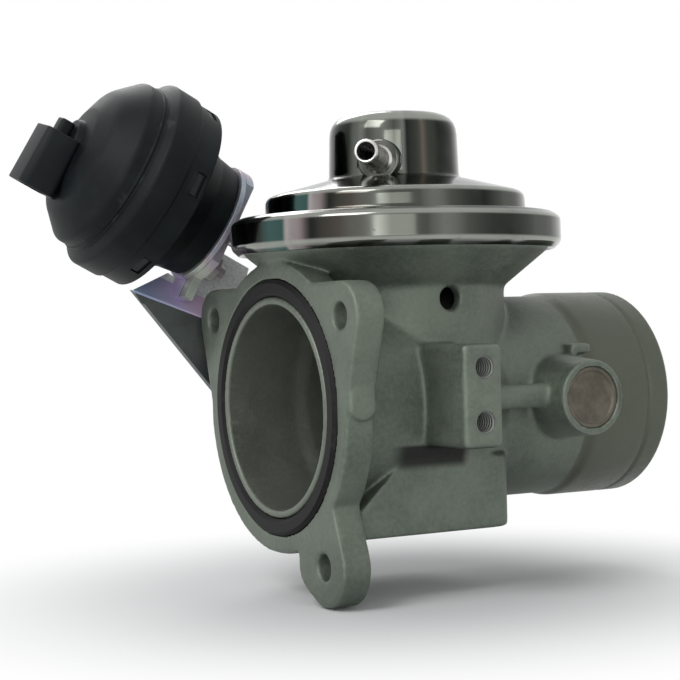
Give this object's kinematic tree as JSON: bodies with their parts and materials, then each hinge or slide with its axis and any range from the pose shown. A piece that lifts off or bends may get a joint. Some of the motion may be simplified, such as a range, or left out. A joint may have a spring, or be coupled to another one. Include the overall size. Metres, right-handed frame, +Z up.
{
  "type": "egr valve",
  "caption": "Vacuum exhaust-gas recirculation valve with a cast duct, manifold flange, poppet under a vacuum can, and a throttle flap pulled by a tilted actuator.",
  "frame": {"origin": "centre of the outlet port, on the duct's axis in the plane of the manifold flange's face", "axes": "+X along the duct from the manifold flange to the hose spigot, +Z up along the lift of the exhaust valve, +Y towards the lever and the actuator"},
  "size_m": [0.159, 0.1325, 0.1369],
  "materials": {
    "cast_aluminium": "grey as-cast skin, satin",
    "black_rubber": "matt moulded rubber",
    "plug_steel": "dull plated steel",
    "valve_steel": "turned heat-resisting steel",
    "bush_bronze": "sintered bronze",
    "flap_brass": "stamped brass, satin",
    "bright_steel": "bright turned or drawn steel",
    "spring_steel": "drawn wire or strip",
    "chromed_steel": "bright chromate-plated pressing",
    "zinc_plate": "iridescent zinc plate",
    "black_moulding": "satin black glass-filled moulding",
    "guide_plastic": "natural low-friction plastic",
    "terminal_tin": "tinned strip",
    "sensor_resin": "potted resin",
    "magnet": "plated magnet"
  },
  "bodies": {
    "body": {"housing": "cast_aluminium", "flange_seal": "black_rubber", "core_plug": "plug_steel", "valve_seat": "valve_steel", "stem_bush": "bush_bronze", "stem_seal": "black_rubber", "egr_diaphragm": "black_rubber", "egr_spring": "spring_steel", "can_cover": "chromed_steel", "vacuum_nipple": "bright_steel", "front_shaft_bush": "bush_bronze", "rear_shaft_bush": "bush_bronze", "shaft_seal": "black_rubber", "stop_screw": "zinc_plate", "stop_lock_nut": "zinc_plate", "actuator_bracket": "zinc_plate", "bracket_screws": "zinc_plate", "actuator_base": "zinc_plate", "actuator_stud_nuts": "zinc_plate", "actuator_can": "black_moulding", "rod_guide": "guide_plastic", "actuator_diaphragm": "black_rubber", "actuator_cap": "black_moulding", "connector_terminals": "terminal_tin", "position_sensor": "sensor_resin", "actuator_spring": "spring_steel"},
    "poppet": {"valve_stem": "valve_steel", "valve_head": "valve_steel", "lower_diaphragm_plate": "bright_steel", "upper_diaphragm_plate": "bright_steel", "stem_nut": "bright_steel"},
    "throttle": {"throttle_shaft": "bright_steel", "throttle_flap": "flap_brass", "flap_screws": "bright_steel", "throttle_lever": "zinc_plate", "lever_nut": "zinc_plate", "lever_pin": "bright_steel", "pin_clip": "spring_steel"},
    "actuator_rod": {"pull_rod": "bright_steel", "rod_end": "zinc_plate", "rod_lock_nut": "zinc_plate", "actuator_piston": "guide_plastic", "spring_cup": "bright_steel", "sensor_magnet": "magnet"}
  },
  "joints": [
    {"name": "valve_lift", "type": "slide", "parent": "body", "child": "poppet", "axis": [0, 0, 1], "range_m": [0, 0.006], "stiffness_N_per_m": 3000, "springref_m": -0.008, "deforming": ["egr_spring", "egr_diaphragm"]},
    {"name": "flap_turn", "type": "hinge", "parent": "body", "child": "throttle", "pos_m": [0.0718, 0, 0.0005], "axis": [0, -1, 0], "range_deg": [0, 80]},
    {"name": "rod_pull", "type": "slide", "parent": "body", "child": "actuator_rod", "axis": [-0.8829, 0, 0.4695], "range_m": [0, 0.018], "stiffness_N_per_m": 400, "springref_m": -0.012, "deforming": ["actuator_spring", "actuator_diaphragm"]}
  ],
  "couplings": [
    {"joint": "flap_turn", "follows": "rod_pull", "rad_per_m": 77.57}
  ]
}
